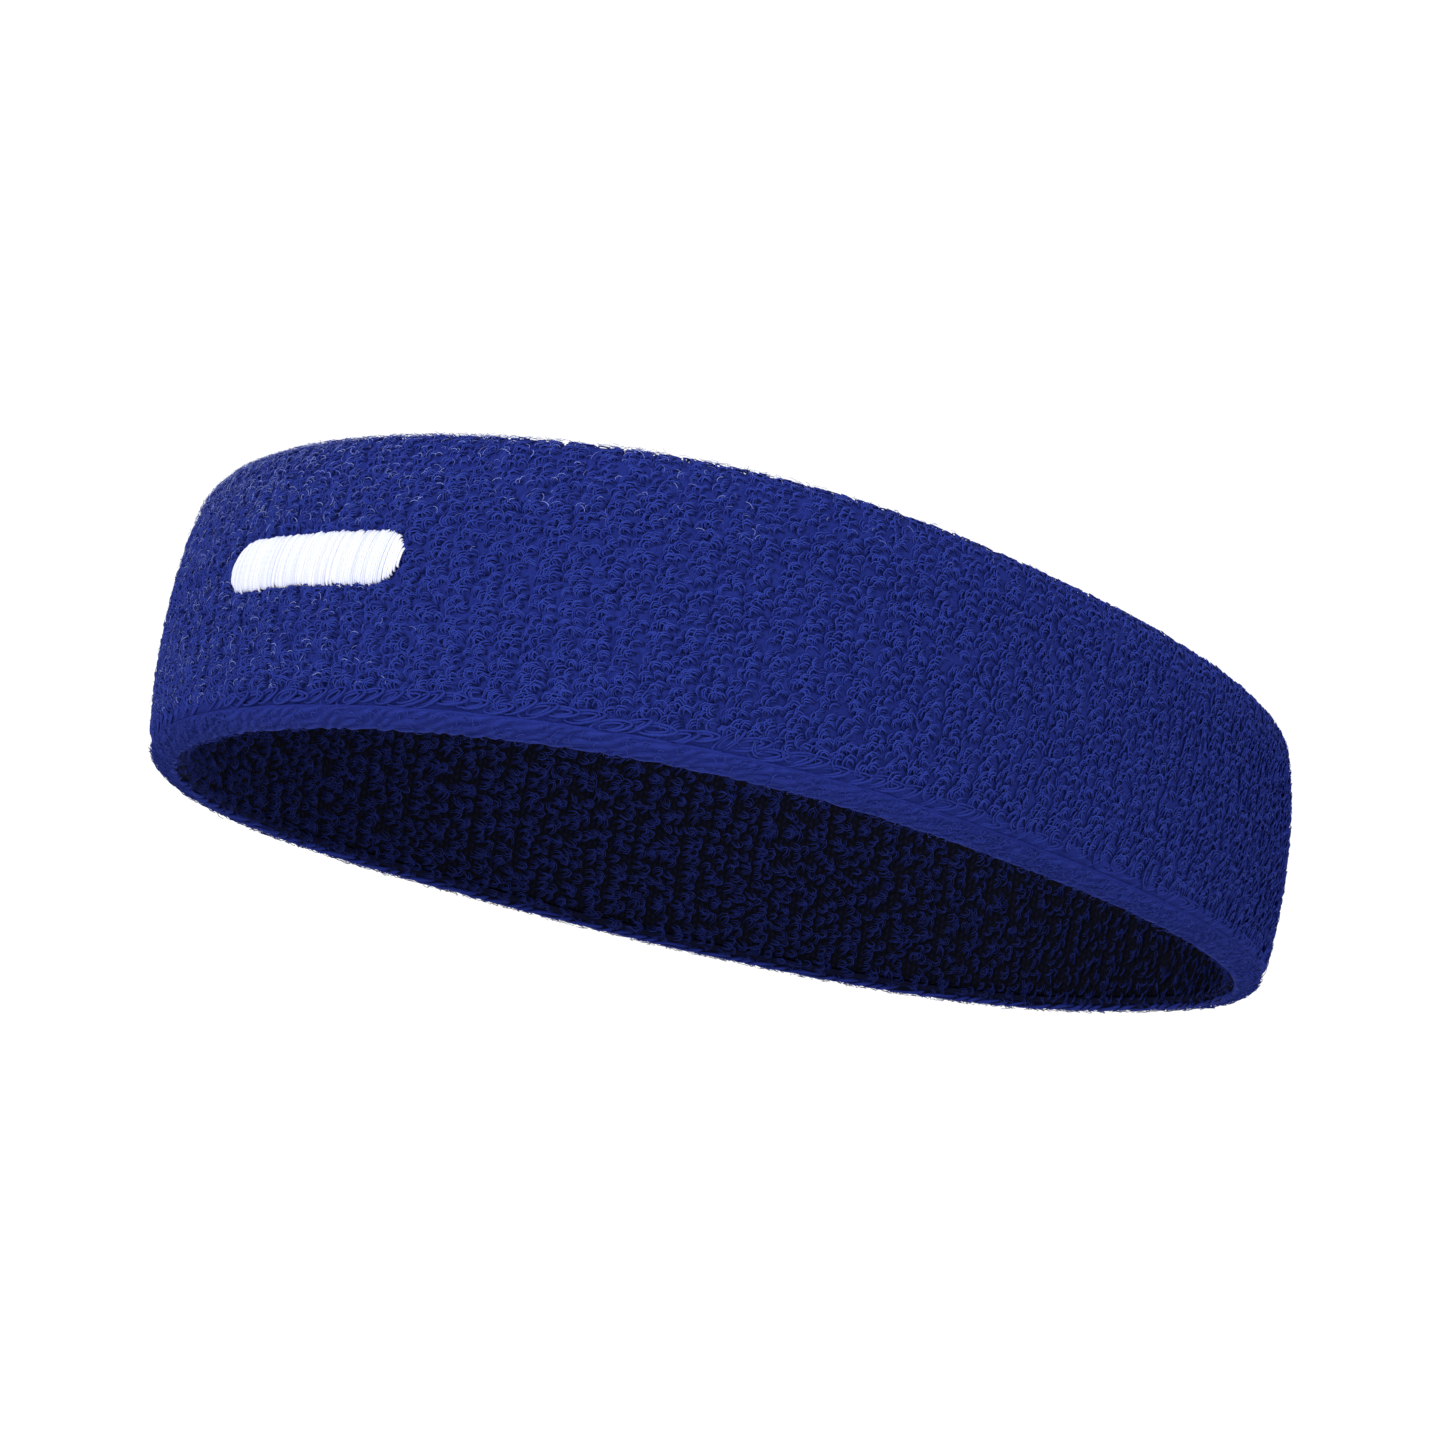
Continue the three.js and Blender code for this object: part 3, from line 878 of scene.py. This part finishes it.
bar_section = folded(BAR_TOP)
bar_along = BAR_HEIGHT - LEG_FROM

rayon, rayon_shader, dye = finish("white_rayon_satin", Specular_IOR_Level=0.5, Sheen_Weight=0.1)
yarn_uv = dye.node("UVMap", {"uv_map": "yarn"}, {})
round_thread = dye.node("SeparateXYZ", {}, {0: yarn_uv})
along_thread = dye.node("SeparateXYZ", {}, {0: yarn_uv}, output=1)
tone_mark = dye.node("Attribute", {"attribute_name": "tone"}, {}, output="Fac")
twist_lines = (round_thread * 3 + along_thread * 22).wave()
body = (tone_mark * 0.5 + twist_lines * 0.25).between(SATIN_WHITE, SATIN_SHADE)
body.feed(rayon_shader, "Base Color")
(twist_lines * 0.2 + 0.42).feed(rayon_shader, "Roughness")

thread = bent_ply(STITCH_SIDES, STITCH_STEPS, 180, STITCH_RADIUS)
thread_points = places(thread)
thread_maps = yarn_map(thread, STITCH_SIDES, STITCH_STEPS)
rings = thread_points.reshape(-1, STITCH_SIDES, 3)
thread_centre = rings.mean(axis=1, keepdims=True).repeat(STITCH_SIDES, axis=1).reshape(-1, 3)
thread_around = thread_points - thread_centre
slant = math.radians(STITCH_SLANT)
stitch_x = np.linspace(STITCH_END - BAR_HALF_LENGTH, BAR_HALF_LENGTH - STITCH_END, STITCHES)
half = bar_half_width(stitch_x) + chance.normal(0, 0.13, STITCHES)
half = np.maximum(half, STITCH_LEAST)
over = np.sign(thread_centre[:, 0]) * np.abs(thread_centre[:, 0]) ** 0.6
up = np.abs(thread_centre[:, 2]) ** 0.45
y = -over[None] * half[:, None]
crown = 0.35 + 0.35 * half[:, None] / BAR_HALF_WIDTH
points = np.stack([
    stitch_x[:, None] + y * math.tan(slant) * 0.55 + chance.normal(0, 0.03, (STITCHES, 1)),
    y + chance.normal(0, 0.08, (STITCHES, 1)),
    up[None] * crown - 1.0 + 0.55 * (1 - (y / BAR_HALF_WIDTH) ** 2) + chance.normal(0, 0.03, (STITCHES, 1)),
], axis=-1)
turned = np.stack([thread_around[:, 1], -thread_around[:, 0], thread_around[:, 2]], axis=-1)
points = points + turned[None]
points[..., 0] += BAR_ROUND
points[..., 1] += bar_along
satin = copies(
    "embroidered_bar", thread, lay(points, bar_section), thread_maps,
    tone=chance.uniform(0, 1, (STITCHES, 1)),
)
bpy.data.objects.remove(thread)
wear(satin, rayon)
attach(satin, "root")
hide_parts("emblem_embroidery")

fleece, fleece_shader, dye = finish("nonwoven_backing", Specular_IOR_Level=0.2)
spot = dye.node("TexCoord", {}, {}, output="Object")
webs = dye.node("TexNoise", {}, {"Vector": spot, "Scale": 1500.0, "Detail": 6.0, "Distortion": 2.0})
webs.between(colour(190, 192, 196), colour(238, 238, 236)).feed(fleece_shader, "Base Color")
(webs * 0.2 + 0.75).feed(fleece_shader, "Roughness")
relief = dye.node("Bump", {}, {"Height": webs, "Distance": 0.0001, "Strength": 0.5})
relief.feed(fleece_shader, "Normal")
wear(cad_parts["emblem_backing"], fleece)

bobbin, bobbin_shader, dye = finish("bobbin_thread_rows", Specular_IOR_Level=0.4)
spot = dye.node("TexCoord", {}, {}, output="Object")
spot_x = dye.node("SeparateXYZ", {}, {0: spot})
spot_z = dye.node("SeparateXYZ", {}, {0: spot}, output=2)
rows = (spot_x * 2600 + spot_z * 420).wave()
rows.between(colour(196, 199, 210), colour(240, 241, 246)).feed(bobbin_shader, "Base Color")
(rows * 0.2 + 0.45).feed(bobbin_shader, "Roughness")
relief = dye.node("Bump", {}, {"Height": rows, "Distance": 0.00012, "Strength": 0.7})
relief.feed(bobbin_shader, "Normal")
wear(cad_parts["emblem_bobbin_thread"], bobbin)


# ---- Floor, lights and camera ---------------------------------------------------------------
# A pale floor below the band, one large soft light from the upper left and two weak fills.

FLOOR_DROP = 0.2
FLOOR_SIZE = 2.6
bpy.ops.mesh.primitive_plane_add(size=FLOOR_SIZE, location=(0, 0, -FLOOR_DROP))
floor = bpy.context.object
floor.name = "floor"
matt, matt_shader, dye = finish("pale_floor", Roughness=0.9, Specular_IOR_Level=0.1)
spot = dye.node("TexCoord", {}, {}, output="Object")
haze = dye.node("TexNoise", {}, {"Vector": spot, "Scale": 1.5, "Detail": 2.0})
haze.between(colour(240, 240, 241), colour(246, 246, 247)).feed(matt_shader, "Base Color")
wear(floor, matt)


def soft_light(name, azimuth, elevation, distance, size, power):
    """A square soft light that faces the middle of the band from a direction."""
    lamp = bpy.data.lights.new(name, "AREA")
    lamp.size = size
    lamp.energy = power
    holder = bpy.data.objects.new(name, lamp)
    bpy.context.collection.objects.link(holder)
    a, e = math.radians(azimuth), math.radians(elevation)
    holder.location = (
        distance * math.sin(a) * math.cos(e),
        -distance * math.cos(a) * math.cos(e),
        distance * math.sin(e) + HEIGHT / 2 * MM,
    )
    holder.rotation_euler = (math.pi / 2 - e, 0, a)


soft_light("key", azimuth=18, elevation=22, distance=1.2, size=0.7, power=11.5)
soft_light("fill", azimuth=100, elevation=8, distance=1.4, size=1.0, power=9)
soft_light("back", azimuth=225, elevation=30, distance=1.4, size=1.0, power=6)

world = bpy.data.worlds.new("studio")
bpy.context.scene.world = world
world.use_nodes = True
sky = Dye(world.node_tree)
seen = sky.node("LightPath", {}, {}, output="Is Camera Ray")
background = world.node_tree.nodes["Background"]
background.inputs["Color"].default_value = (1, 1, 1, 1)
(seen * 0.5 + 0.55).feed(background, "Strength")
bpy.context.scene.view_settings.view_transform = "Standard"

VIEW_AZIMUTH = 51.609
VIEW_ELEVATION = -12.484
VIEW_ROLL = 9.578
VIEW_DISTANCE = 573.2
VIEW_LENS = 82.12
AIM_RIGHT = -5.633
AIM_UP = 4.687


def unit(vector):
    return vector / np.linalg.norm(vector)


a, e, roll = np.radians([VIEW_AZIMUTH, VIEW_ELEVATION, VIEW_ROLL])
middle = np.array([0, 0, HEIGHT / 2])
eye = middle + VIEW_DISTANCE * np.array([np.sin(a) * np.cos(e), -np.cos(a) * np.cos(e), np.sin(e)])
ahead = unit(middle - eye)
right = unit(np.cross(ahead, (0, 0, 1)))
aim = middle + AIM_RIGHT * right + AIM_UP * np.cross(right, ahead)
ahead = unit(aim - eye)
right = unit(np.cross(ahead, (0, 0, 1)))
up = np.cross(right, ahead)
tilted_right = np.cos(roll) * right + np.sin(roll) * up
tilted_up = np.cos(roll) * up - np.sin(roll) * right
turned = np.eye(4)
turned[:3, 0], turned[:3, 1], turned[:3, 2], turned[:3, 3] = tilted_right, tilted_up, -ahead, eye * MM
lens = bpy.data.cameras.new("camera")
lens.lens = VIEW_LENS
lens.clip_start = 0.01
camera = bpy.data.objects.new("camera", lens)
bpy.context.collection.objects.link(camera)
camera.matrix_world = Matrix(turned)
bpy.context.scene.camera = camera
